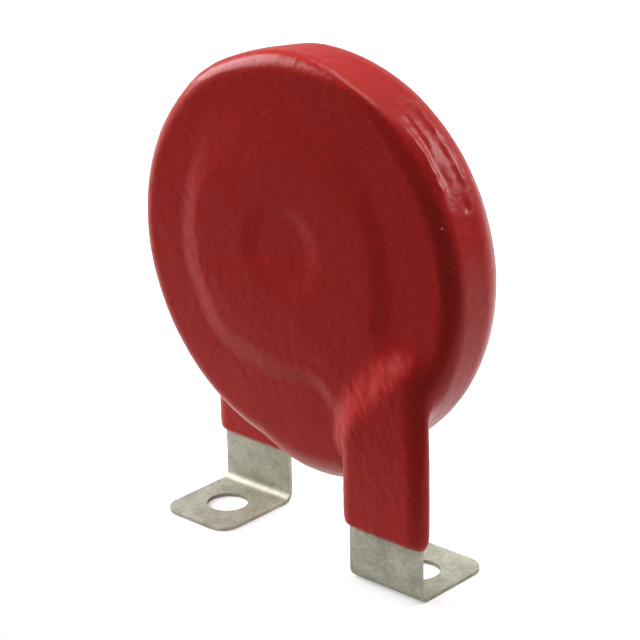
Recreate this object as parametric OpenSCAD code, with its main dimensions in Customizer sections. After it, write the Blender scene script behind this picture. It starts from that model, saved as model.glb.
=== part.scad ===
// Metal oxide varistor of the 40 mm strap terminal kind.
// A zinc oxide disc carries a silver electrode on each face. A flat terminal is soldered to
// each electrode, steps outward over the rim and ends in a foot with a screw hole.
// One red epoxy coating covers everything down to the lower ends of the two strips.
// X runs across the face, Y through the thickness with the front at -Y, and Z is up.
// The origin is on the underside of the feet, midway between the two screw holes.

/* [Ceramic disc] */
// Diameter of the bare zinc oxide disc
disc_d = 39; // [36:0.5:41]
// Thickness of the bare zinc oxide disc
disc_t = 7; // [5:0.25:10]
// Radius round both edges of the disc
disc_edge_r = 1.2; // [0.6:0.1:1.6]
// Height of the disc's centre above the underside of the feet
disc_z = 31.1; // [30:0.1:34]
// How far the disc sits to the right of the middle between the two strips
disc_shift = 0.3; // [-0.6:0.1:0.6]

/* [Electrodes and solder] */
// Width of flat ceramic that is left bare round each electrode
electrode_margin = 0.3; // [0.1:0.1:1.5]
// Thickness of the electrode film
electrode_t = 0.05; // [0.03:0.01:0.1]
// Thickness of the solder between an electrode and its terminal
solder_t = 0.12; // [0.08:0.01:0.25]

/* [Terminals] */
// Distance between the centre lines of the two strips
strip_pitch = 25; // [23:0.1:27]
// Width of each strip
strip_w = 9; // [8:0.1:10]
// Thickness of the tinned sheet
sheet_t = 0.4; // [0.3:0.05:0.6]
// Outer diameter of the ring that is soldered to the electrode
ring_d = 22; // [20:0.5:24]
// Diameter of the hole in the middle of the ring
ring_hole_d = 10; // [7:0.5:12]
// Height of the ring's centre above the disc's centre
ring_rise = 1.9; // [1:0.1:2.5]
// How far the neck's lower left corner stands out beyond the ring
heel_out = 1.5; // [0.8:0.1:2]
// Radius of the neck's lower left corner
heel_r = 2.5; // [1:0.1:3]
// How far below the ring the neck's lower edge meets the strip
crotch_drop = 1.1; // [0.6:0.1:2]
// Radius in the inside corner between the neck and the strip
crotch_r = 4; // [2:0.1:5]
// How far below the ring's centre the strip's square shoulder lies
shoulder_drop = 8.6; // [7.5:0.1:9.5]
// Width of the square shoulder at the top of the strip
shoulder_w = 3.6; // [3:0.1:4.5]
// Radius of the shoulder's outer and inner corners
shoulder_r = 1.5; // [0.5:0.1:1.6]

/* [Outward step] */
// How far the strip stands out beyond the ring
step_out = 0.45; // [0.2:0.05:0.8]
// Length of the sloping stretch between the two folds
step_run = 2; // [1.5:0.1:2.6]
// Angle of the two folds from the horizontal
step_angle = 47; // [38:1:52]
// How far the step's middle lies below the ring's centre, on the strip's centre line
step_drop = 10.1; // [9.5:0.1:10.8]

/* [Feet] */
// Length of each foot from the strip's outer face to the foot's end
foot_l = 10.3; // [9.5:0.1:12]
// Diameter of the screw hole
foot_hole_d = 4.3; // [3.2:0.1:5.3]
// Distance from the hole's centre to the foot's end
foot_hole_inset = 5.2; // [4:0.1:5.4]
// Radius of the foot's corners
foot_corner_r = 2; // [0.5:0.1:3]
// Inside radius of the bend between strip and foot
bend_r = 0.8; // [0.4:0.1:1]

/* [Coating] */
// Coating thickness on the faces of the disc
face_coat = 0.8; // [0.6:0.05:1.2]
// Coating thickness round the rim of the disc
rim_coat = 0.85; // [0.6:0.05:1.2]
// Radius round the front edge of the coated disc
coat_front_edge_r = 2; // [1.2:0.1:2.6]
// Radius round the rear edge of the coated disc
coat_rear_edge_r = 3.3; // [1.6:0.1:3.5]
// Coating thickness over the terminal's ring and neck
ring_coat = 0.6; // [0.5:0.05:1]
// Width of the soft slope round the raised ring
slope_w = 2.5; // [1:0.1:2.8]
// Coating thickness on the front and back of a strip
strip_coat = 1; // [0.45:0.05:1.2]
// Coating thickness on the narrow sides of a strip
side_coat = 0.65; // [0.5:0.05:1.1]
// Width of the rounding along a strip's coated edges
sleeve_edge_w = 2.1; // [1:0.1:2.5]
// Height at which the coating ends on the strips
coat_end_z = 5.75; // [4:0.05:7]
// Height over which the coating narrows to the strip at its lower corners
coat_end_h = 1.8; // [0.8:0.1:2.5]
// Coating thickness that is left at its lower edge
coat_end_t = 0.3; // [0.15:0.05:0.4]
// Height over which the coating thins to its lower edge
coat_thin_h = 0.7; // [0.3:0.1:1.5]

/* [Web below the disc] */
// Radius of the lobe of coating that hangs beside each strip
web_r = 10; // [8:0.1:11]
// How far the lobe hangs below the coated disc
web_drop = 0.9; // [0.4:0.1:1.4]
// Distance from the lobe's middle to the strip's centre line
web_inset = 8; // [7:0.1:9]
// Thickness of the lobe
web_t = 4; // [3.5:0.1:4.5]
// Radius round the lobe's edge
web_edge_r = 1.7; // [0.8:0.1:1.7]

/* [Hidden] */
$fn = 96;
arc_steps = 8;
rear = 180;

// Layers through the thickness, measured out from the middle plane
disc_face = disc_t / 2;
electrode_r = disc_d / 2 - disc_edge_r - electrode_margin;
electrode_face = disc_face + electrode_t;
ring_in = electrode_face + solder_t;
ring_out = ring_in + sheet_t;
strip_out = ring_out + step_out;
strip_in = strip_out - sheet_t;
coat_face = disc_face + face_coat;
coat_ring = ring_out + ring_coat;
coat_strip = strip_out + strip_coat;
relief_h = coat_ring - coat_face;
sleeve_t = sheet_t + 2 * strip_coat;

// The slope round the raised ring runs on into the disc's coating by this depth and width
slope_root = face_coat / 4;
slope_foot = slope_w * (1 + slope_root / relief_h);
relief_skin = face_coat / 80;

// Depth inside the disc from which the spaces for the terminals start
space_root = disc_face / 2;

// Places in the front view
strip_x = strip_pitch / 2;
strip_left = strip_x - strip_w / 2;
strip_right = strip_x + strip_w / 2;
ring_r = ring_d / 2;
ring_z = disc_z + ring_rise;
coat_r = disc_d / 2 + rim_coat;
crotch_z = ring_z - ring_r - crotch_drop;
shoulder_z = ring_z - shoulder_drop;
heel_angle = 233;
neck_left_angle = 200;
neck_right_angle = -10;
foot_z = sheet_t + bend_r;
bend_y = foot_z - strip_out;
foot_end = foot_l - strip_out;
hole_y = foot_end - foot_hole_inset;
reach = disc_d;

// A point at a distance and an angle from the ring's centre
function from_ring(radius, angle) = [radius * cos(angle), ring_z + radius * sin(angle)];

function unit(v) = v / norm(v);

// The arc that rounds the corner b, between the corners a and c
function corner_arc(a, b, c, r) =
    let (
        to_a = unit(a - b),
        to_c = unit(c - b),
        half = acos(to_a * to_c) / 2,
        middle = b + unit(to_a + to_c) * r / sin(half),
        start = b + to_a * r / tan(half) - middle,
        end = b + to_c * r / tan(half) - middle,
        from = atan2(start[1], start[0]),
        turn = atan2(end[1], end[0]) - from,
        sweep = turn > 180 ? turn - 360 : turn < -180 ? turn + 360 : turn
    )
    [for (i = [0:arc_steps]) middle + r * [cos(from + sweep * i / arc_steps), sin(from + sweep * i / arc_steps)]];

// An outline with each corner rounded by its own radius, or left sharp where that is 0
function rounded(points, radii) =
    let (n = len(points))
    [for (i = [0:n - 1])
        each radii[i] > 0
            ? corner_arc(points[(i + n - 1) % n], points[i], points[(i + 1) % n], radii[i])
            : [points[i]]];

// A quarter of an ellipse with half axes a and b, from the angle given on
function quarter(centre, a, b, from) =
    [for (i = [0:arc_steps]) centre + [a * cos(from + 90 * i / arc_steps), b * sin(from + 90 * i / arc_steps)]];

// Outline of the neck and the strip in the front view, grown by the coating on their sides.
// The strip's lower end is given, as points from its left side to its right
function neck_outline(grow, lower_end) = rounded(
    [
        [0, ring_z],
        from_ring(ring_r + grow, neck_left_angle),
        from_ring(ring_r + heel_out + grow, heel_angle),
        [strip_left - grow, crotch_z - grow],
        each lower_end,
        [strip_right + grow, shoulder_z + grow],
        [strip_right - shoulder_w + grow, shoulder_z + grow],
        from_ring(ring_r + grow, neck_right_angle)
    ],
    [0, 0, heel_r, crotch_r, each [for (p = lower_end) 0], shoulder_r, shoulder_r, 0]
);

// Stands a front view outline up, through the depth from one layer to the next
module upright(near, far) {
    rotate([90, 0, 0])
        translate([0, 0, near])
            linear_extrude(far - near)
                children();
}

// Turns a profile of radius and depth about the axis of a disc
module turned(x, z) {
    translate([x, 0, z])
        rotate([90, 0, 0])
            rotate_extrude()
                children();
}

// Half profile of a disc with rounded edges
module disc_profile(r, half_t, front_r, rear_r) {
    polygon(concat(
        [[0, -half_t]],
        quarter([r - rear_r, -half_t + rear_r], rear_r, rear_r, -90),
        quarter([r - front_r, half_t - front_r], front_r, front_r, 0),
        [[0, half_t]]
    ));
}

// Puts a profile of distance along the neck and depth across the two folds of the step
module across_step() {
    translate([strip_x, 0, ring_z - step_drop])
        rotate([0, 90 - step_angle, 0])
            linear_extrude(2 * reach, center = true)
                children();
}

// Sheet profile through the step, between two inner and two outer layers
module step_profile(inner_ring, inner_strip, outer_ring, outer_strip) {
    polygon([
        [-2 * reach, -inner_ring],
        [-step_run / 2, -inner_ring],
        [step_run / 2, -inner_strip],
        [reach, -inner_strip],
        [reach, -outer_strip],
        [step_run / 2, -outer_strip],
        [-step_run / 2, -outer_ring],
        [-2 * reach, -outer_ring]
    ]);
}

// Front view of a terminal above its bend: the ring, the neck and the strip
module terminal_outline() {
    difference() {
        union() {
            translate([0, ring_z])
                circle(r = ring_r);
            polygon(neck_outline(0, [[strip_left, foot_z], [strip_right, foot_z]]));
        }
        translate([0, ring_z])
            circle(d = ring_hole_d);
    }
}

// Side view of the foot, the bend and the lower end of the strip
module foot_side() {
    translate([bend_y, foot_z])
        intersection() {
            difference() {
                circle(r = bend_r + sheet_t);
                circle(r = bend_r);
            }
            translate([-foot_z, -foot_z])
                square(foot_z);
        }
    translate([bend_y, 0])
        square([foot_l, sheet_t]);
    translate([-strip_out, foot_z])
        square(sheet_t);
}

// Foot and bend, with the corners of the foot rounded
module terminal_foot() {
    intersection() {
        rotate([90, 0, 90])
            linear_extrude(reach)
                foot_side();
        linear_extrude(2 * foot_z)
            polygon(rounded(
                [
                    [strip_left, -coat_strip],
                    [strip_right, -coat_strip],
                    [strip_right, foot_end],
                    [strip_left, foot_end]
                ],
                [0, 0, foot_corner_r, foot_corner_r]
            ));
    }
}

// The terminal's outline through the depth that a profile across the step gives
module stepped_sheet() {
    intersection() {
        upright(0, coat_strip)
            terminal_outline();
        across_step()
            children();
    }
}

// One terminal, stamped from sheet, stepped outward at the neck and bent at the foot
module terminal() {
    difference() {
        union() {
            stepped_sheet()
                step_profile(ring_in, strip_in, ring_out, strip_out);
            terminal_foot();
        }
        translate([strip_x, hole_y, -sheet_t])
            cylinder(d = foot_hole_d, h = 3 * sheet_t);
    }
}

// Solder under the flat part of a terminal, as far as the first fold
module solder() {
    intersection() {
        upright(electrode_face, ring_in)
            terminal_outline();
        across_step()
            translate([-step_run / 2 - 2 * reach, -strip_out])
                square([2 * reach, strip_out]);
    }
}

module electrode() {
    translate([disc_shift, -disc_face, disc_z])
        rotate([90, 0, 0])
            cylinder(r = electrode_r, h = electrode_t);
}

module ceramic() {
    turned(disc_shift, disc_z)
        disc_profile(disc_d / 2, disc_face, disc_edge_r, disc_edge_r);
}

// Raised round of coating over the terminal's ring, with a soft slope to the disc's face
module ring_relief() {
    turned(0, ring_z)
        polygon([
            [0, coat_face - slope_root],
            [ring_r + slope_foot, coat_face - slope_root],
            [ring_r, coat_ring],
            [0, coat_ring]
        ]);
}

// Dimple that the hole in the ring leaves in the coating
module ring_dimple() {
    dimple_r = ring_hole_d / 2 - slope_w;
    slope = slope_w / relief_h;
    turned(0, ring_z)
        polygon([
            [0, coat_face],
            [dimple_r, coat_face],
            [dimple_r + slope * strip_out, coat_face + strip_out],
            [0, coat_face + strip_out]
        ]);
}

// Front view of the flat part of the neck, from the ring to the first fold
module flat_neck_outline() {
    polygon(rounded(
        [
            from_ring(ring_r, neck_left_angle),
            from_ring(ring_r + heel_out, heel_angle),
            [strip_left, crotch_z],
            [strip_right - shoulder_w, shoulder_z],
            from_ring(ring_r, neck_right_angle)
        ],
        [0, heel_r, 0, 0, 0]
    ));
}

// Raised coating over the flat neck, with the same soft slope as round the ring
module neck_relief() {
    hull() {
        upright(coat_face - slope_root, coat_face - slope_root + relief_skin)
            offset(delta = slope_foot)
                flat_neck_outline();
        upright(coat_ring - relief_skin, coat_ring)
            flat_neck_outline();
    }
}

// Section of a coated strip, seen from above
module sleeve_section() {
    edge_x = strip_w / 2 + side_coat - sleeve_edge_w;
    translate([strip_x, -(strip_in + strip_out) / 2])
        polygon(concat(
            quarter([edge_x, 0], sleeve_edge_w, sleeve_t / 2, 0),
            quarter([-edge_x, 0], sleeve_edge_w, sleeve_t / 2, 90),
            quarter([-edge_x, 0], sleeve_edge_w, sleeve_t / 2, 180),
            quarter([edge_x, 0], sleeve_edge_w, sleeve_t / 2, 270)
        ));
}

// Front view of a coated strip, from its narrowed lower end to the shoulder and the neck
module sleeve_front() {
    end_z = coat_end_z + coat_end_h;
    polygon(neck_outline(side_coat, concat(
        quarter([strip_left, end_z], side_coat, coat_end_h, 180),
        quarter([strip_right, end_z], side_coat, coat_end_h, 270)
    )));
}

// Side view of a coated strip, thinned at its lower end and rounded over the shoulder
module sleeve_side() {
    back = strip_coat - strip_in;
    polygon(concat(
        [
            [-strip_out - coat_end_t, coat_end_z],
            [-strip_in + coat_end_t, coat_end_z],
            [back, coat_end_z + coat_thin_h]
        ],
        quarter([back, shoulder_z + side_coat - sleeve_edge_w], sleeve_t, sleeve_edge_w, 90),
        [[-coat_strip, coat_end_z + coat_thin_h]]
    ));
}

// Coated strip with its shoulder and its outward step
module sleeve() {
    intersection() {
        linear_extrude(ring_z)
            sleeve_section();
        upright(0, coat_strip + face_coat)
            sleeve_front();
        rotate([90, 0, 90])
            linear_extrude(disc_d)
                sleeve_side();
        across_step()
            step_profile(0, 0, coat_ring, coat_strip);
    }
}

// Lobe of coating that fills the corner between the disc's rim and a strip
module web() {
    turned(strip_x - web_inset, disc_z - coat_r - web_drop + web_r)
        translate([0, coat_face - web_t / 2])
            disc_profile(web_r, web_t / 2, web_edge_r, web_edge_r);
}

// Space in the coating for the disc and its electrodes
module disc_space() {
    ceramic();
    translate([disc_shift, electrode_face, disc_z])
        rotate([90, 0, 0])
            cylinder(r = electrode_r, h = 2 * electrode_face);
}

// Space in the coating for a terminal and its solder. As far as the first fold it reaches
// into the disc, so that no skin of coating stays between the layers
module terminal_space() {
    stepped_sheet()
        polygon([
            [-2 * reach, -space_root],
            [-step_run / 2, -space_root],
            [-step_run / 2, -ring_in],
            [step_run / 2, -strip_in],
            [reach, -strip_in],
            [reach, -strip_out],
            [step_run / 2, -strip_out],
            [-step_run / 2, -ring_out],
            [-2 * reach, -ring_out]
        ]);
}

module epoxy_coating() {
    color("firebrick")
        difference() {
            union() {
                turned(disc_shift, disc_z)
                    disc_profile(coat_r, coat_face, coat_front_edge_r, coat_rear_edge_r);
                for (turn = [0, rear])
                    rotate([0, 0, turn]) {
                        ring_relief();
                        neck_relief();
                        sleeve();
                        web();
                    }
            }
            for (turn = [0, rear])
                rotate([0, 0, turn]) {
                    ring_dimple();
                    terminal_space();
                }
            disc_space();
        }
}

module zinc_oxide_disc() {
    color("dimgray")
        ceramic();
}

module front_electrode() {
    color("silver")
        electrode();
}

module rear_electrode() {
    color("silver")
        translate([2 * disc_shift, 0, 0])
            rotate([0, 0, rear])
                electrode();
}

module front_solder_layer() {
    color("lightgray")
        solder();
}

module rear_solder_layer() {
    color("lightgray")
        rotate([0, 0, rear])
            solder();
}

module front_terminal() {
    color("darkgray")
        terminal();
}

module rear_terminal() {
    color("darkgray")
        rotate([0, 0, rear])
            terminal();
}

epoxy_coating();
zinc_oxide_disc();
front_electrode();
rear_electrode();
front_solder_layer();
rear_solder_layer();
front_terminal();
rear_terminal();
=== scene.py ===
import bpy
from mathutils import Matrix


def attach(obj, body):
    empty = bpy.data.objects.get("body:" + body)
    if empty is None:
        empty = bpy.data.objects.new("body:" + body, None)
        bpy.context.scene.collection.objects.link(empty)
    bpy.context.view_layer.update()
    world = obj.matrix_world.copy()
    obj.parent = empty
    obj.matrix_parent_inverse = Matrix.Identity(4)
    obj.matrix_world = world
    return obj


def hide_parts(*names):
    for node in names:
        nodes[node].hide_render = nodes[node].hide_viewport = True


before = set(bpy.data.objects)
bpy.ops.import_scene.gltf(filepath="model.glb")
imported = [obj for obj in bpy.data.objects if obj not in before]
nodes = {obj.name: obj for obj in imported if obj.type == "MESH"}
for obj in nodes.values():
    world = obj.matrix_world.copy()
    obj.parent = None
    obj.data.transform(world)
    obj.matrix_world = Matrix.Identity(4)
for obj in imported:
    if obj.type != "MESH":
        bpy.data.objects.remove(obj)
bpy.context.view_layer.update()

import math

import bpy
import numpy as np
import openvdb
from mathutils import Matrix, Vector, noise


# Zinc oxide disc: the ceramic that lets current through above its voltage.
# It is pressed from powder and sintered, so it is dark, dense and matt. It fills the coating
# and shows nowhere. Its solid comes with the frame.

def linear(code):
    """An sRGB hex colour as linear values."""
    parts = [int(code[i:i + 2], 16) / 255 for i in (0, 2, 4)]
    return [v / 12.92 if v <= 0.04045 else ((v + 0.055) / 1.055) ** 2.4 for v in parts] + [1]


def add(tree, kind, settings=None, links=None):
    """Adds a node, sets its options and inputs, and links its other inputs."""
    node = tree.nodes.new(kind)
    for name, value in (settings or {}).items():
        if isinstance(name, str) and hasattr(node, name):
            setattr(node, name, value)
        else:
            node.inputs[name].default_value = value
    for name, source in (links or {}).items():
        tree.links.new(source, node.inputs[name])
    return node


mm_per_metre = 1000


def new_material(name):
    """An empty material, with the object's own coordinates in millimetres."""
    material = bpy.data.materials.new(name)
    material.use_nodes = True
    tree = material.node_tree
    tree.nodes.clear()
    place = add(tree, "ShaderNodeTexCoord")
    millimetres = add(tree, "ShaderNodeVectorMath", {"operation": "SCALE", "Scale": mm_per_metre},
                      {0: place.outputs["Object"]})
    return material, tree, millimetres.outputs[0]


def finish_with(tree, shader):
    """Sends a shader to the material's surface."""
    add(tree, "ShaderNodeOutputMaterial", links={"Surface": shader.outputs[0]})


def dress(node, material):
    """Gives a solid of the frame its material."""
    nodes[node].data.materials.clear()
    nodes[node].data.materials.append(material)


# Sintered zinc oxide is nearly black with a green cast, and its fired skin scatters light.
# Its grains are 0.01 mm wide, too fine to show, so clumps of them are drawn.
sinter_clump_mm = 0.4
ceramic, tree, mm = new_material("sintered_zinc_oxide")
sinter_grain = add(tree, "ShaderNodeTexNoise", {"Scale": 1 / sinter_clump_mm, "Detail": 4}, {"Vector": mm})
sinter_colour = add(tree, "ShaderNodeValToRGB", links={"Fac": sinter_grain.outputs["Fac"]})
sinter_colour.color_ramp.elements[0].color = linear("3c3f3d")
sinter_colour.color_ramp.elements[1].color = linear("585c58")
sinter_bump = add(tree, "ShaderNodeBump", {"Strength": 0.4, "Distance": 0.00002},
                  {"Height": sinter_grain.outputs["Fac"]})
finish_with(tree, add(tree, "ShaderNodeBsdfPrincipled", {"Roughness": 0.8, "IOR": 2.0},
                      {"Base Color": sinter_colour.outputs["Color"],
                       "Normal": sinter_bump.outputs["Normal"]}))
dress("zinc_oxide_disc", ceramic)


# Electrodes: silver paste, screen printed on each face of the disc and fired.
# The film is thin, matt and nearly white. The screen's threads lie 0.1 mm apart, too fine to
# show, so the grain that they leave is drawn twice as coarse.
screen_grain_mm = 0.2
silver, tree, mm = new_material("fired_silver_paste")
screen_grain = add(tree, "ShaderNodeTexNoise", {"Scale": 1 / screen_grain_mm, "Detail": 2}, {"Vector": mm})
screen_rough = add(tree, "ShaderNodeMapRange", {"To Min": 0.45, "To Max": 0.65},
                   {"Value": screen_grain.outputs["Fac"]})
finish_with(tree, add(tree, "ShaderNodeBsdfPrincipled", {"Base Color": linear("dcdad3"), "Metallic": 1},
                      {"Roughness": screen_rough.outputs[0]}))
for side in ("front", "rear"):
    dress(side + "_electrode", silver)


# Solder layers: the tin solder that wets each electrode and holds its terminal.
# It freezes bright grey, and its gloss changes slowly from one crystal to the next.
solder_crystal_mm = 1.111
solder, tree, mm = new_material("soft_solder")
solder_crystals = add(tree, "ShaderNodeTexVoronoi", {"Scale": 1 / solder_crystal_mm}, {"Vector": mm})
solder_rough = add(tree, "ShaderNodeMapRange", {"To Min": 0.28, "To Max": 0.6},
                   {"Value": solder_crystals.outputs["Distance"]})
finish_with(tree, add(tree, "ShaderNodeBsdfPrincipled", {"Base Color": linear("c2c2c0"), "Metallic": 1},
                      {"Roughness": solder_rough.outputs[0]}))
for side in ("front", "rear"):
    dress(side + "_solder_layer", solder)


# Terminals: 0.4 mm brass sheet, stamped, plated with matt tin and bent into a foot.
# Matt tin looks grey with a yellow green cast. Handling leaves soft blotches on it, and fine
# specks, some pale and some dark, where it is also glossier or duller.
tin_blotch_mm, tin_speck_mm = 2.222, 0.3125

# Sockets of a Mix node that mixes colours: several have one name, so they go by number
mix_share, mix_a, mix_b, mixed = 0, 6, 7, 2
tin_plate, tree, mm = new_material("matt_tin_plate")
tin_blotch = add(tree, "ShaderNodeTexNoise", {"Scale": 1 / tin_blotch_mm, "Detail": 3, "Roughness": 0.6},
                 {"Vector": mm})
tin_tone = add(tree, "ShaderNodeValToRGB", links={"Fac": tin_blotch.outputs["Fac"]})
for stop, place, colour in ((0, 0.35, "a6a697"), (1, 0.65, "bebcad")):
    tin_tone.color_ramp.elements[stop].position = place
    tin_tone.color_ramp.elements[stop].color = linear(colour)
tin_speck = add(tree, "ShaderNodeTexNoise", {"Scale": 1 / tin_speck_mm, "Detail": 3, "Roughness": 0.7},
                {"Vector": mm})
tin_speck_tone = add(tree, "ShaderNodeMapRange",
                     {"From Min": 0.35, "From Max": 0.65, "To Min": 0.8, "To Max": 1.12},
                     {"Value": tin_speck.outputs["Fac"]})
tin_colour = add(tree, "ShaderNodeMix", {"data_type": "RGBA", "blend_type": "MULTIPLY", mix_share: 1},
                 {mix_a: tin_tone.outputs["Color"], mix_b: tin_speck_tone.outputs[0]})
tin_rough = add(tree, "ShaderNodeMapRange",
                {"From Min": 0.3, "From Max": 0.7, "To Min": 0.52, "To Max": 0.68},
                {"Value": tin_speck.outputs["Fac"]})
tin_bump = add(tree, "ShaderNodeBump", {"Strength": 0.5, "Distance": 0.00001},
               {"Height": tin_speck.outputs["Fac"]})
finish_with(tree, add(tree, "ShaderNodeBsdfPrincipled", {"Metallic": 1},
                      {"Base Color": tin_colour.outputs[mixed], "Roughness": tin_rough.outputs[0],
                       "Normal": tin_bump.outputs["Normal"]}))
for side in ("front", "rear"):
    dress(side + "_terminal", tin_plate)


# Epoxy coating: powder that melts on the hot part, flows into a skin and cures.
# Surface tension rounds its edges, softens the terminal's ring, neck and step beneath it,
# and leaves webs between the rim and the strips. Each side is the other turned by half a turn.

# The skin is where a field of distances is zero. Lengths are in millimetres, and angles in
# degrees from 0 on the right. One side is drawn as it is looked at, with its depth measured
# from mid thickness towards the eye. First the terminal, as it shows through: its ring, its
# strip, and the outward step between them, which slants across the strip.
ring_x, ring_z, ring_r = -0.4, 32.1, 11.35
strip_x, strip_w = 12.5, 9.0
strip_left, strip_right = strip_x - strip_w / 2, strip_x + strip_w / 2
fold_z, fold_angle, fold_run = 23.1, math.radians(48), 4.7


def from_ring(radius, degrees):
    """A point at a distance and an angle from the ring's centre."""
    turn = math.radians(degrees)
    return ring_x + radius * math.cos(turn), ring_z + radius * math.sin(turn)


# The corners of neck and strip, each with its rounding: from the ring down the left side,
# and back up the right side over the strip's shoulder
neck_corners = (
    ((0, ring_z), 0),
    (from_ring(11.4, 198), 0),
    (from_ring(12.6, 230), 2.5),
    ((strip_left, 20.9), 6.8),
    ((strip_left, 0), 0),
    ((strip_right, 0), 0),
    ((strip_right, 24.2), 1.5),
    ((10.8, 25.2), 2.5),
    (from_ring(11.3, -8), 0),
)


def rounded(corners, steps=8):
    """An outline with each corner rounded by its own radius."""
    made = []
    for i, (place, radius) in enumerate(corners):
        if radius == 0:
            made.append(place)
            continue
        here = Vector(place)
        back = (Vector(corners[i - 1][0]) - here).normalized()
        ahead = (Vector(corners[(i + 1) % len(corners)][0]) - here).normalized()
        half = math.acos(back.dot(ahead)) / 2
        middle = here + (back + ahead).normalized() * radius / math.sin(half)
        start = here + back * radius / math.tan(half) - middle
        end = here + ahead * radius / math.tan(half) - middle
        sweep = start.angle_signed(end)
        for step in range(steps + 1):
            turn = -sweep * step / steps
            made.append((middle.x + start.x * math.cos(turn) - start.y * math.sin(turn),
                         middle.y + start.x * math.sin(turn) + start.y * math.cos(turn)))
    return made


neck = rounded(neck_corners)


def outline_distance(outline, x, z):
    """Distance from an outline in the front view, negative inside it."""
    nearest = np.full(np.broadcast(x, z).shape, np.inf)
    inside = np.zeros(nearest.shape, bool)
    for (ax, az), (bx, bz) in zip(outline, outline[1:] + outline[:1]):
        ex, ez = bx - ax, bz - az
        along = np.clip(((x - ax) * ex + (z - az) * ez) / (ex * ex + ez * ez), 0, 1)
        nearest = np.minimum(nearest, np.hypot(x - ax - along * ex, z - az - along * ez))
        if az != bz:
            inside ^= ((az > z) != (bz > z)) & (x < ax + (z - az) * ex / ez)
    return np.where(inside, -nearest, nearest)


def smooth(value):
    """A soft step from 0 to 1."""
    value = np.clip(value, 0, 1)
    return value * value * (3 - 2 * value)


def band(value, start, end, fade):
    """1 between a start and an end, and fading to 0 at both."""
    return smooth((value - start) / fade) * smooth((end - value) / fade)


def bump(offset, spread):
    """A soft bump, 1 in its middle, that fades over its spread."""
    return np.exp(-(offset / spread) ** 2)


def meet(a, b, blend):
    """Joins two bodies with a fillet, as molten powder does."""
    share = np.clip(0.5 + 0.5 * (b - a) / blend, 0, 1)
    return b + (a - b) * share - blend * share * (1 - share)


def round_plate(x, z, depth, radius, half, near_edge, far_edge):
    """A disc with rounded edges, as a distance that is negative inside."""
    edge = np.where(depth > 0, near_edge, far_edge)
    out = np.hypot(x, z) - radius + edge
    thick = np.abs(depth) - half + edge
    return np.minimum(np.maximum(out, thick), 0) + np.hypot(np.maximum(out, 0), np.maximum(thick, 0)) - edge


def around(x, z):
    """Angle about the disc's axis."""
    return np.degrees(np.arctan2(z - disc_z, x - disc_x))


def away(angle, middle):
    """How far one angle lies from another."""
    return (angle - middle + 180) % 360 - 180


def below_fold(x, z):
    """How far a point lies below the middle line of the step."""
    return (x - strip_x) * math.sin(fold_angle) + (fold_z - z) * math.cos(fold_angle)


# The ring and neck stand out from the face by a soft slope, whose middle lies outside their
# outline. Over the top it widens until it hardly shows, from a height given as a share of the
# radius, and it is tighter where the neck turns down.
face_depth, ring_depth, strip_depth = 4.3, 4.62, 5.52
ring_fillet, slope_out, slope_w = 1.5, 1.05, 2.9
fade_w, fade_from = 6.0, 0.45
tight_x, tight_z, tight_spread, tight_w = 4.5, 19, 3, 1.0

# A dimple lies over the hole in the ring, and takes this share of the relief away
dimple_x, dimple_z, dimple_r, dimple_w, dimple_share = -0.4, 32.2, 5.5, 2.8, 0.65

# The sleeve on the strip: its coat beside the sheet, half its thickness, how far it lies below
# the ring's face above the step, and the rounding of its edges. That is wider at the shoulder,
# and grows within a short way of the strip's middle line.
side_coat, sleeve_half, sheet_half, sunk = 0.65, 1.2, 0.2, 0.2
sleeve_edge, shoulder_edge, shoulder_from, shoulder_rise, edge_side = 1.7, 2.6, 14, 6, 2

# Its lower end: where it stops, over what height it narrows and thins, and the last coat
coat_end, narrow_h, thin_h, end_coat = 5.75, 1.8, 0.7, 0.3

# A fillet where the sleeve leaves the disc: narrow along the strip's middle line, and wider
# beside it, by a share on the right, and on the left only from a height upwards
narrow_fillet, wide_fillet, shoulder_share = 0.4, 1.8, 0.55
fillet_from, fillet_rise, fillet_side = 12, 3, 3

# A web that sags from the rim beside each strip, and the depth over which it and the rim's
# lumps fade from one side to the other
web_angle, web_spread, web_drop, web_soft = -77, 26, 1.75, 0.02
side_fade = 3


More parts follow.
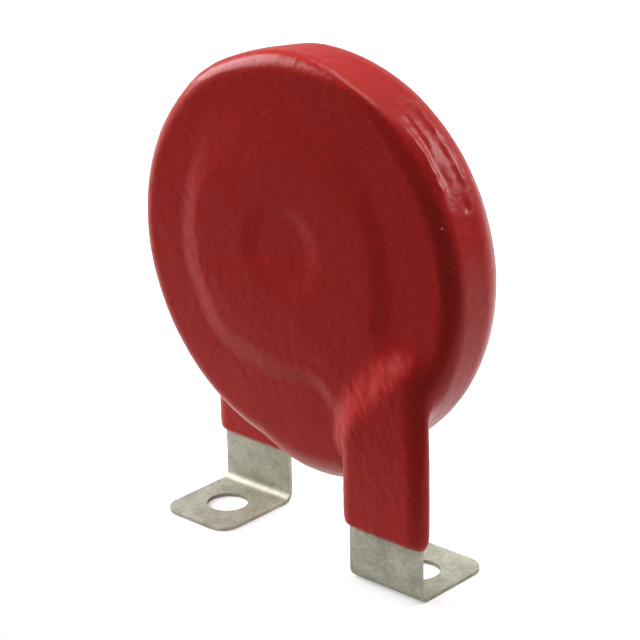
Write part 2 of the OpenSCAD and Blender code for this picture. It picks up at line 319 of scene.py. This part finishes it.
def one_side(x, z, depth):
    """The ring's relief, the sleeve, the web and the sleeve's fillet on one side."""
    neck_gap = outline_distance(neck, x, z)
    ring_out = np.hypot(x - ring_x, z - ring_z)
    stepped = smooth(below_fold(x, z) / fold_run + 0.5)
    upward = (z - ring_z) / np.maximum(ring_out, 1)
    slope = slope_w + fade_w * smooth((upward - fade_from) / (1 - fade_from))
    slope = slope - tight_w * bump(np.hypot(x - tight_x, z - tight_z), tight_spread)
    raised = 1 - smooth((meet(ring_out - ring_r, neck_gap, ring_fillet) - slope_out) / slope + 0.5)
    in_dimple = dimple_r - np.hypot(x - dimple_x, z - dimple_z)
    raised = raised * (1 - dimple_share * smooth(in_dimple / dimple_w))
    relief = (ring_depth - face_depth) * raised * (1 - stepped)

    narrowed = np.clip((coat_end + narrow_h - z) / narrow_h, 0, 1)
    thinned = smooth((coat_end + thin_h - z) / thin_h)
    strip_gap = neck_gap - side_coat * np.sqrt(1 - narrowed ** 2)
    half = sleeve_half - (sleeve_half - sheet_half - end_coat) * thinned
    middle = strip_depth - sleeve_half - (strip_depth - ring_depth + sunk) * (1 - stepped)
    at_shoulder = smooth((z - shoulder_from) / shoulder_rise) * smooth(np.abs(x - strip_x) / edge_side)
    edge = sleeve_edge + (shoulder_edge - sleeve_edge) * at_shoulder
    sleeve = (np.hypot(np.maximum(strip_gap + edge, 0) / edge, (depth - middle) / half) - 1) * half
    sleeve = np.maximum(sleeve, coat_end - z)

    web_share = 1 - (away(around(x, z), web_angle) / web_spread) ** 2
    web_share = (web_share + np.sqrt(web_share ** 2 + web_soft)) / 2
    web = web_drop * web_share * smooth((depth + side_fade / 2) / side_fade)

    left = stepped * smooth((z - fillet_from) / fillet_rise)
    beside = np.where(x > strip_x, shoulder_share, left) * smooth(np.abs(x - strip_x) / fillet_side)
    return relief, sleeve, web, narrow_fillet + (wide_fillet - narrow_fillet) * beside


# The coated disc, and its edges, of which the front one has a crisp stretch at the top right
# and is full at the bottom. Each row is its angle, its spread and its change as a share.
disc_x, disc_z, disc_r = 0.35, 31.1, 20.35
front_edge, rear_edge = 1.9, 3.9
front_edge_changes = ((66, 14, -0.6), (-86, 20, 1.2))

# Lumps of the rim, where more or less powder stuck: angle, spread, and height in front and
# behind. The one at the bottom is the drop that sags there.
rim_lumps = ((108, 11, -0.08, -0.5), (92, 5, 0, 0.05), (125, 10, 0.12, 0.1),
             (-145, 22, -0.1, -0.1), (40, 30, 0, 0.1), (-88, 20, 0.95, 0))

# The ceramic disc, which keeps a thin coat even where the edges are full
ceramic_x, ceramic_r, ceramic_half, ceramic_edge = 0.3, 19.5, 3.5, 1.2
thin_coat, thin_fillet = 0.17, 0.3


def coating_field(x, y, z):
    """How far a point lies outside the coating."""
    relief, sleeve, web, fillet = one_side(x, z, -y)
    relief_rear, sleeve_rear, web_rear, fillet_rear = one_side(-x, z, y)
    depth = np.where(y < 0, -y - relief, -(y - relief_rear))
    angle = around(x, z)
    radius = disc_r + web + web_rear
    for middle, spread, front, rear in rim_lumps:
        lump = front + (rear - front) * smooth((side_fade / 2 - depth) / side_fade)
        radius = radius + lump * bump(away(angle, middle), spread)
    edge_share = 1
    for middle, spread, change in front_edge_changes:
        edge_share = edge_share + change * bump(away(angle, middle), spread)
    body = round_plate(x - disc_x, z - disc_z, depth, radius, face_depth,
                       front_edge * edge_share, rear_edge)
    coated = round_plate(x - ceramic_x, z - disc_z, y, ceramic_r, ceramic_half,
                         ceramic_edge, ceramic_edge) - thin_coat
    body = meet(body, coated, thin_fillet)
    return meet(meet(body, sleeve, fillet), sleeve_rear, fillet_rear)


# The field on a grid gives quads, and each of their corners is then moved onto the skin, down
# the field's slope. That slope is measured over a nudge, and counts as no flatter than a least.
cell, far_away = 0.23, 9
lowest, highest = np.array([-21.5, -6.0, 5.1]), np.array([21.8, 6.0, 52.2])
moves, nudge, least_slope = 2, 0.02, 0.1
counts = np.ceil((highest - lowest) / cell).astype(int)
grid_lines = [lowest[i] + cell * np.arange(counts[i]) for i in range(3)]
grid = openvdb.FloatGrid()
grid.background = far_away
grid.copyFromArray(coating_field(*np.meshgrid(*grid_lines, indexing="ij", sparse=True)).astype(np.float32))
points, quads = grid.convertToQuads(isovalue=0)
points = points.astype(float) * cell + lowest
for _ in range(moves):
    gap = coating_field(*points.T)
    uphill = np.stack([(coating_field(*(points + nudge * axis).T) - gap) / nudge for axis in np.eye(3)], 1)
    move = gap / np.maximum((uphill ** 2).sum(1), least_slope)
    points -= np.clip(move, -cell / 2, cell / 2)[:, None] * uphill
outward = uphill / np.linalg.norm(uphill, axis=1)[:, None]


def waves(*along):
    """Smooth unevenness from -1 to 1, one wave to a unit along each of three directions."""
    return np.array([noise.noise(Vector(place)) for place in np.stack(np.broadcast_arrays(*along), 1)])


# The powder leaves a faint orange peel and slow unevenness all over
peel_tall, peel_w, slow_tall, slow_w = 0.012, 1.3, 0.03, 5
height = peel_tall * waves(*points.T / peel_w) + slow_tall * waves(*points.T / slow_w)

# Wrinkles where it ran along the rim. Each follows the rim at a distance from mid thickness,
# between two angles, with its height and width, and is broken by blotches.
rim_wrinkles = ((-2.5, 27, 54, 0.1, 0.3), (-0.95, 38, 57, 0.07, 0.26),
                (0.5, 28, 60, 0.09, 0.34), (-1.65, 28, 54, -0.06, 0.4))
wrinkle_fade, wrinkle_strays, wrinkle_breaks, blotch_w = 5, 0.2, 1.1, 1.1
rim_from, rim_fade = 18.3, 1.2
x, y, z = points.T.copy()
angle = around(x, z)
on_rim = smooth((np.hypot(x - disc_x, z - disc_z) - rim_from) / rim_fade)
blotches = waves(*points.T / blotch_w)
for middle, start, end, tall, wide in rim_wrinkles:
    across = bump(y - middle - wrinkle_strays * blotches, wide)
    height += tall * on_rim * band(angle, start, end, wrinkle_fade) * across * (1 + wrinkle_breaks * blotches)

# Finer streaks among them: long ones, and short ones that cross
streaks_start, streaks_end, streaks_fade = 26, 60, 6
streaks_y, streaks_half, streaks_soft = -1, 1.4, 0.8
streak_tall, streak_long, streak_w, cross_tall, cross_w = 0.02, 2.4, 0.4, 0.022, 0.5
in_streaks = on_rim * band(angle, streaks_start, streaks_end, streaks_fade)
in_streaks = in_streaks * smooth((streaks_half - np.abs(y - streaks_y)) / streaks_soft + 0.5)
height += in_streaks * (streak_tall * waves(np.radians(angle) * disc_r / streak_long, y / streak_w, 0)
                        + cross_tall * waves(*points.T / cross_w))

# Fine wrinkles that cross the front edge over the top, with their turn in degrees
edge_wrinkle_tall, edge_wrinkle_turn, edge_wrinkle_long = 0.03, 1.6, 2
on_edge = band(y, start=-4.6, end=-2.2, fade=0.8) * on_rim * band(angle, start=45, end=165, fade=30)
height += edge_wrinkle_tall * on_edge * waves(angle / edge_wrinkle_turn, y / edge_wrinkle_long, 0)

# A small pit on the rim, from a gas bubble in the melt, with a raised lip at one end
pit_angle, pit_y, pit_deep, pit_long, pit_w = 25, -0.25, 0.16, 0.55, 0.28
lip_tall, lip_from_pit, lip_long, lip_w = 0.05, -0.9, 0.35, 0.5
along_rim = np.radians(away(angle, pit_angle)) * disc_r
height += on_rim * (lip_tall * bump(along_rim - lip_from_pit, lip_long) * bump(y - pit_y, lip_w)
                    - pit_deep * bump(along_rim, pit_long) * bump(y - pit_y, pit_w))

# Short wrinkles run down each step, where the skin was stretched. "step_skin" tells the
# material where it tore, most in flecks of their own.
outer_from, outer_fade = 3.6, 0.6
step_reach, step_fade, step_left_fade, step_right_gap, step_right_fade = 2.4, 1.4, 1.5, 0.3, 0.8
step_top, step_top_fade = 26.8, 2
stretch_tall, stretch_w, stretch_long = 0.06, 0.55, 2.2
fleck_w, fleck_long, fleck_seed, fleck_least, fleck_gain = 0.6, 1.3, 5, 0.35, 1.2

# Drawn marks lean across each sleeve, faintly above the step
mark_tall, mark_w, mark_long, mark_lean = 0.02, 0.45, 2.5, 0.5
mark_least, mark_fade, mark_top, mark_top_fade = 0.25, 2, 30, 10

# Both sides have them, the front one first, and the rear one turned by half a turn
step_skin = np.zeros(len(points))
for side in (1, -1):
    side_x, depth = side * x, -side * y
    down = below_fold(side_x, z)
    along = (side_x - strip_x) * math.cos(fold_angle) - (fold_z - z) * math.sin(fold_angle)
    outer = smooth((depth - outer_from) / outer_fade)
    on_step = smooth((step_reach - np.abs(down)) / step_fade) * smooth((step_top - z) / step_top_fade) * outer
    on_step = on_step * smooth((side_x - strip_left + step_left_fade) / step_left_fade)
    on_step = on_step * smooth((strip_right - step_right_gap - side_x) / step_right_fade)
    height += stretch_tall * on_step * waves(along / stretch_w, down / stretch_long, side)
    flecks = smooth(0.5 + fleck_gain * waves(along / fleck_w, down / fleck_long, side + fleck_seed))
    step_skin = np.maximum(step_skin, on_step * (fleck_least + (1 - fleck_least) * flecks))
    marked = outer * (mark_least + (1 - mark_least) * smooth(down / mark_fade))
    marked = marked * smooth((mark_top - z) / mark_top_fade)
    height += mark_tall * marked * waves((side_x + mark_lean * z) / mark_w,
                                         (z - mark_lean * side_x) / mark_long, side)
points += height[:, None] * outward
mesh = bpy.data.meshes.new("coating_skin")
mesh.from_pydata((points / mm_per_metre).tolist(), [], quads.tolist())
mesh.shade_smooth()
mesh.attributes.new("step_skin", "FLOAT", "POINT").data.foreach_set("value", step_skin)
coating = bpy.data.objects.new("coating_skin", mesh)
bpy.context.scene.collection.objects.link(coating)

# Cured epoxy powder: a deep red, half gloss, with the orange peel of the flowed powder and
# the grain of its pigment. That grain is 0.02 mm wide, too fine to show, and is drawn coarser.
peel_mm, pigment_mm, dust_mm = 1.111, 0.3846, 2.857
red_epoxy, tree, mm = new_material("cured_red_epoxy_powder")
peel = add(tree, "ShaderNodeTexNoise", {"Scale": 1 / peel_mm, "Detail": 2}, {"Vector": mm})
pigment = add(tree, "ShaderNodeTexNoise", {"Scale": 1 / pigment_mm, "Detail": 4, "Roughness": 0.7},
              {"Vector": mm})
epoxy_tone = add(tree, "ShaderNodeMix", {"data_type": "RGBA", mix_a: linear("6a0e0c"), mix_b: linear("c4201a")},
                 {mix_share: pigment.outputs["Fac"]})

# Sparse specks of dust and of unmelted powder, some pale and some dark
dust = add(tree, "ShaderNodeTexVoronoi", {"Scale": 1 / dust_mm}, {"Vector": mm})
speck = add(tree, "ShaderNodeMapRange", {"From Min": 0.045, "From Max": 0.02},
            {"Value": dust.outputs["Distance"]})
speck_is_pale = add(tree, "ShaderNodeMath", {"operation": "GREATER_THAN", 1: 0.6}, {0: dust.outputs["Color"]})
speck_tone = add(tree, "ShaderNodeMix", {"data_type": "RGBA", mix_a: linear("3c0a08"), mix_b: linear("d0a89c")},
                 {mix_share: speck_is_pale.outputs[0]})
epoxy_tone = add(tree, "ShaderNodeMix", {"data_type": "RGBA"},
                 {mix_share: speck.outputs[0], mix_a: epoxy_tone.outputs[mixed],
                  mix_b: speck_tone.outputs[mixed]})

# Painted reflection: the underside between the terminals is painted a paler pink, standing in for the white
# floor that these downward-facing surfaces mirror
skin = add(tree, "ShaderNodeNewGeometry")
skin_way = add(tree, "ShaderNodeSeparateXYZ", links={0: skin.outputs["Normal"]})
skin_place = add(tree, "ShaderNodeSeparateXYZ", links={0: mm})
turned_down = add(tree, "ShaderNodeMapRange", {"From Min": -0.2, "From Max": -0.65},
                  {"Value": skin_way.outputs["Z"]})
left_of_strip = add(tree, "ShaderNodeMapRange", {"From Min": 7.5, "From Max": 5.5},
                    {"Value": skin_place.outputs["X"]})
lowest_part = add(tree, "ShaderNodeMapRange", {"From Min": 15.5, "From Max": 13.5},
                  {"Value": skin_place.outputs["Z"]})
underside_painted_reflection = add(tree, "ShaderNodeMath", {"operation": "MULTIPLY"},
           {0: turned_down.outputs[0], 1: left_of_strip.outputs[0]})
underside_painted_reflection = add(tree, "ShaderNodeMath", {"operation": "MULTIPLY"}, {0: underside_painted_reflection.outputs[0], 1: lowest_part.outputs[0]})
# Mixes in the painted floor reflection, a paler pink where the skin faces down between the terminals
epoxy_tone = add(tree, "ShaderNodeMix", {"data_type": "RGBA", mix_b: linear("b8645c")},
                 {mix_share: underside_painted_reflection.outputs[0], mix_a: epoxy_tone.outputs[mixed]})
peel_bump = add(tree, "ShaderNodeBump", {"Strength": 0.5, "Distance": 0.0001}, {"Height": peel.outputs["Fac"]})
pigment_bump = add(tree, "ShaderNodeBump", {"Strength": 0.5, "Distance": 0.00002},
                   {"Height": pigment.outputs["Fac"], "Normal": peel_bump.outputs["Normal"]})

# The skin tore finely where it was stretched over the step, so it is a brighter, duller red
torn = add(tree, "ShaderNodeAttribute", {"attribute_name": "step_skin"})
epoxy_tone = add(tree, "ShaderNodeMix", {"data_type": "RGBA", mix_b: linear("b01c19")},
                 {mix_share: torn.outputs["Fac"], mix_a: epoxy_tone.outputs[mixed]})
epoxy_rough = add(tree, "ShaderNodeMapRange", {"To Min": 0.28, "To Max": 0.42},
                  {"Value": torn.outputs["Fac"]})
finish_with(tree, add(tree, "ShaderNodeBsdfPrincipled", {"IOR": 1.5, "Specular IOR Level": 0.16},
                      {"Base Color": epoxy_tone.outputs[mixed], "Roughness": epoxy_rough.outputs[0],
                       "Normal": pigment_bump.outputs["Normal"]}))
mesh.materials.append(red_epoxy)
dress("epoxy_coating", red_epoxy)
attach(coating, "root")
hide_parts("epoxy_coating")


# Studio floor: a wide sheet of matt white paper that the feet stand on.
# It starts just in front of the part, turned to the camera. A little glow of its own makes it
# white to the camera, and it keeps the part's soft shadow.

# Sizes in metres. Paper fibres are too fine to show, so they are drawn half a millimetre wide
sheet_half_w, sheet_long, sheet_front, sheet_turn = 0.45, 0.5, -0.026, 17
paper_glow, paper_fibre_mm = 0.35, 0.5
floor_mesh = bpy.data.meshes.new("studio_floor")
floor_mesh.from_pydata([(-sheet_half_w, 0, 0), (sheet_half_w, 0, 0), (sheet_half_w, sheet_long, 0),
                        (-sheet_half_w, sheet_long, 0)], [], [(0, 1, 2, 3)])
floor = bpy.data.objects.new("studio_floor", floor_mesh)
floor.matrix_world = (Matrix.Translation((0, sheet_front, 0))
                      @ Matrix.Rotation(math.radians(sheet_turn), 4, "Z"))
bpy.context.scene.collection.objects.link(floor)
paper, tree, mm = new_material("matt_white_paper")
paper_ray = add(tree, "ShaderNodeLightPath")
paper_seen = add(tree, "ShaderNodeMath", {"operation": "MAXIMUM"},
                 {0: paper_ray.outputs["Is Camera Ray"], 1: paper_ray.outputs["Is Transmission Ray"]})
paper_seen = add(tree, "ShaderNodeMath", {"operation": "MULTIPLY", 1: paper_glow}, {0: paper_seen.outputs[0]})
paper_fibres = add(tree, "ShaderNodeTexNoise", {"Scale": 1 / paper_fibre_mm}, {"Vector": mm})
paper_tone = add(tree, "ShaderNodeMix", {"data_type": "RGBA", mix_a: linear("dcdcdb"), mix_b: linear("e0e0e0")},
                 {mix_share: paper_fibres.outputs["Fac"]})
finish_with(tree, add(tree, "ShaderNodeBsdfPrincipled",
                      {"Roughness": 0.9, "Specular IOR Level": 0, "Emission Color": linear("ffffff")},
                      {"Base Color": paper_tone.outputs[mixed], "Emission Strength": paper_seen.outputs[0]}))
floor_mesh.materials.append(paper)


# Studio light: a room that looks white to the camera but gives little light of its own, and
# soft lamps on the left, behind on the right and above behind. The left one grazes the face and
# brings out its low relief. Reflections see the room grey, a little paler behind.
room_light = 0.23
world = bpy.data.worlds.new("white_room")
bpy.context.scene.world = world
world.use_nodes = True
tree = world.node_tree
tree.nodes.clear()
room_ray = add(tree, "ShaderNodeLightPath")
room_seen = add(tree, "ShaderNodeMath", {"operation": "MAXIMUM"},
                {0: room_ray.outputs["Is Camera Ray"], 1: room_ray.outputs["Is Transmission Ray"]})
room_place = add(tree, "ShaderNodeTexCoord")
room_axes = add(tree, "ShaderNodeSeparateXYZ", links={0: room_place.outputs["Generated"]})
room_behind = add(tree, "ShaderNodeMapRange",
                  {"From Min": -0.2, "From Max": 0.6, "To Min": 0.2, "To Max": 0.3},
                  {"Value": room_axes.outputs["Y"]})
room_grey = add(tree, "ShaderNodeMath", {"operation": "MULTIPLY_ADD", 2: room_light},
                {0: room_ray.outputs["Is Glossy Ray"], 1: room_behind.outputs[0]})
room_level = add(tree, "ShaderNodeMath", {"operation": "MAXIMUM"},
                 {0: room_seen.outputs[0], 1: room_grey.outputs[0]})
room_white = add(tree, "ShaderNodeBackground", {"Color": linear("ffffff")}, {"Strength": room_level.outputs[0]})
add(tree, "ShaderNodeOutputWorld", links={"Surface": room_white.outputs[0]})
lamp_distance, lamp_aim = 0.5, Vector((0, 0, 0.028))


def soft_lamp(name, azimuth, elevation, level, size):
    """A square soft lamp that lights a surface facing it to the level given."""
    light = bpy.data.lights.new(name, "AREA")
    light.size = size
    light.energy = level * (math.pi * lamp_distance) ** 2
    lamp = bpy.data.objects.new(name, light)
    bpy.context.scene.collection.objects.link(lamp)
    turn = (Matrix.Rotation(math.radians(azimuth), 4, "Z")
            @ Matrix.Rotation(math.radians(90 - elevation), 4, "X"))
    lamp.matrix_world = Matrix.Translation(turn @ Vector((0, 0, lamp_distance)) + lamp_aim) @ turn


soft_lamp("left_lamp", azimuth=-75, elevation=28, level=1.5, size=0.35)
soft_lamp("rear_right_lamp", azimuth=152, elevation=30, level=0.6, size=0.22)
soft_lamp("rear_top_lamp", azimuth=205, elevation=75, level=0.86, size=0.35)


# Camera: a long lens that looks down on the part from the front right.
# Its place was fitted to the corners and holes of the two terminals.
camera_turn, camera_elevation, camera_roll = 42.371, 21.519, -0.967
camera_place, camera_shift = (0.002966, 0.023395, 0.242161), (0, -0.004511, 0)
camera_data = bpy.data.cameras.new("camera")
camera_data.lens, camera_data.sensor_width = 135.98, 36
camera_data.clip_start, camera_data.clip_end = 0.01, 20
camera = bpy.data.objects.new("camera", camera_data)
bpy.context.scene.collection.objects.link(camera)
camera.matrix_world = Matrix.Translation(camera_shift) @ (
    Matrix.Rotation(math.radians(camera_turn), 4, "Z")
    @ Matrix.Rotation(math.radians(90 - camera_elevation), 4, "X")
    @ Matrix.Rotation(math.radians(camera_roll), 4, "Z") @ Matrix.Translation(camera_place))
bpy.context.scene.camera = camera
bpy.context.scene.view_settings.view_transform = "Standard"
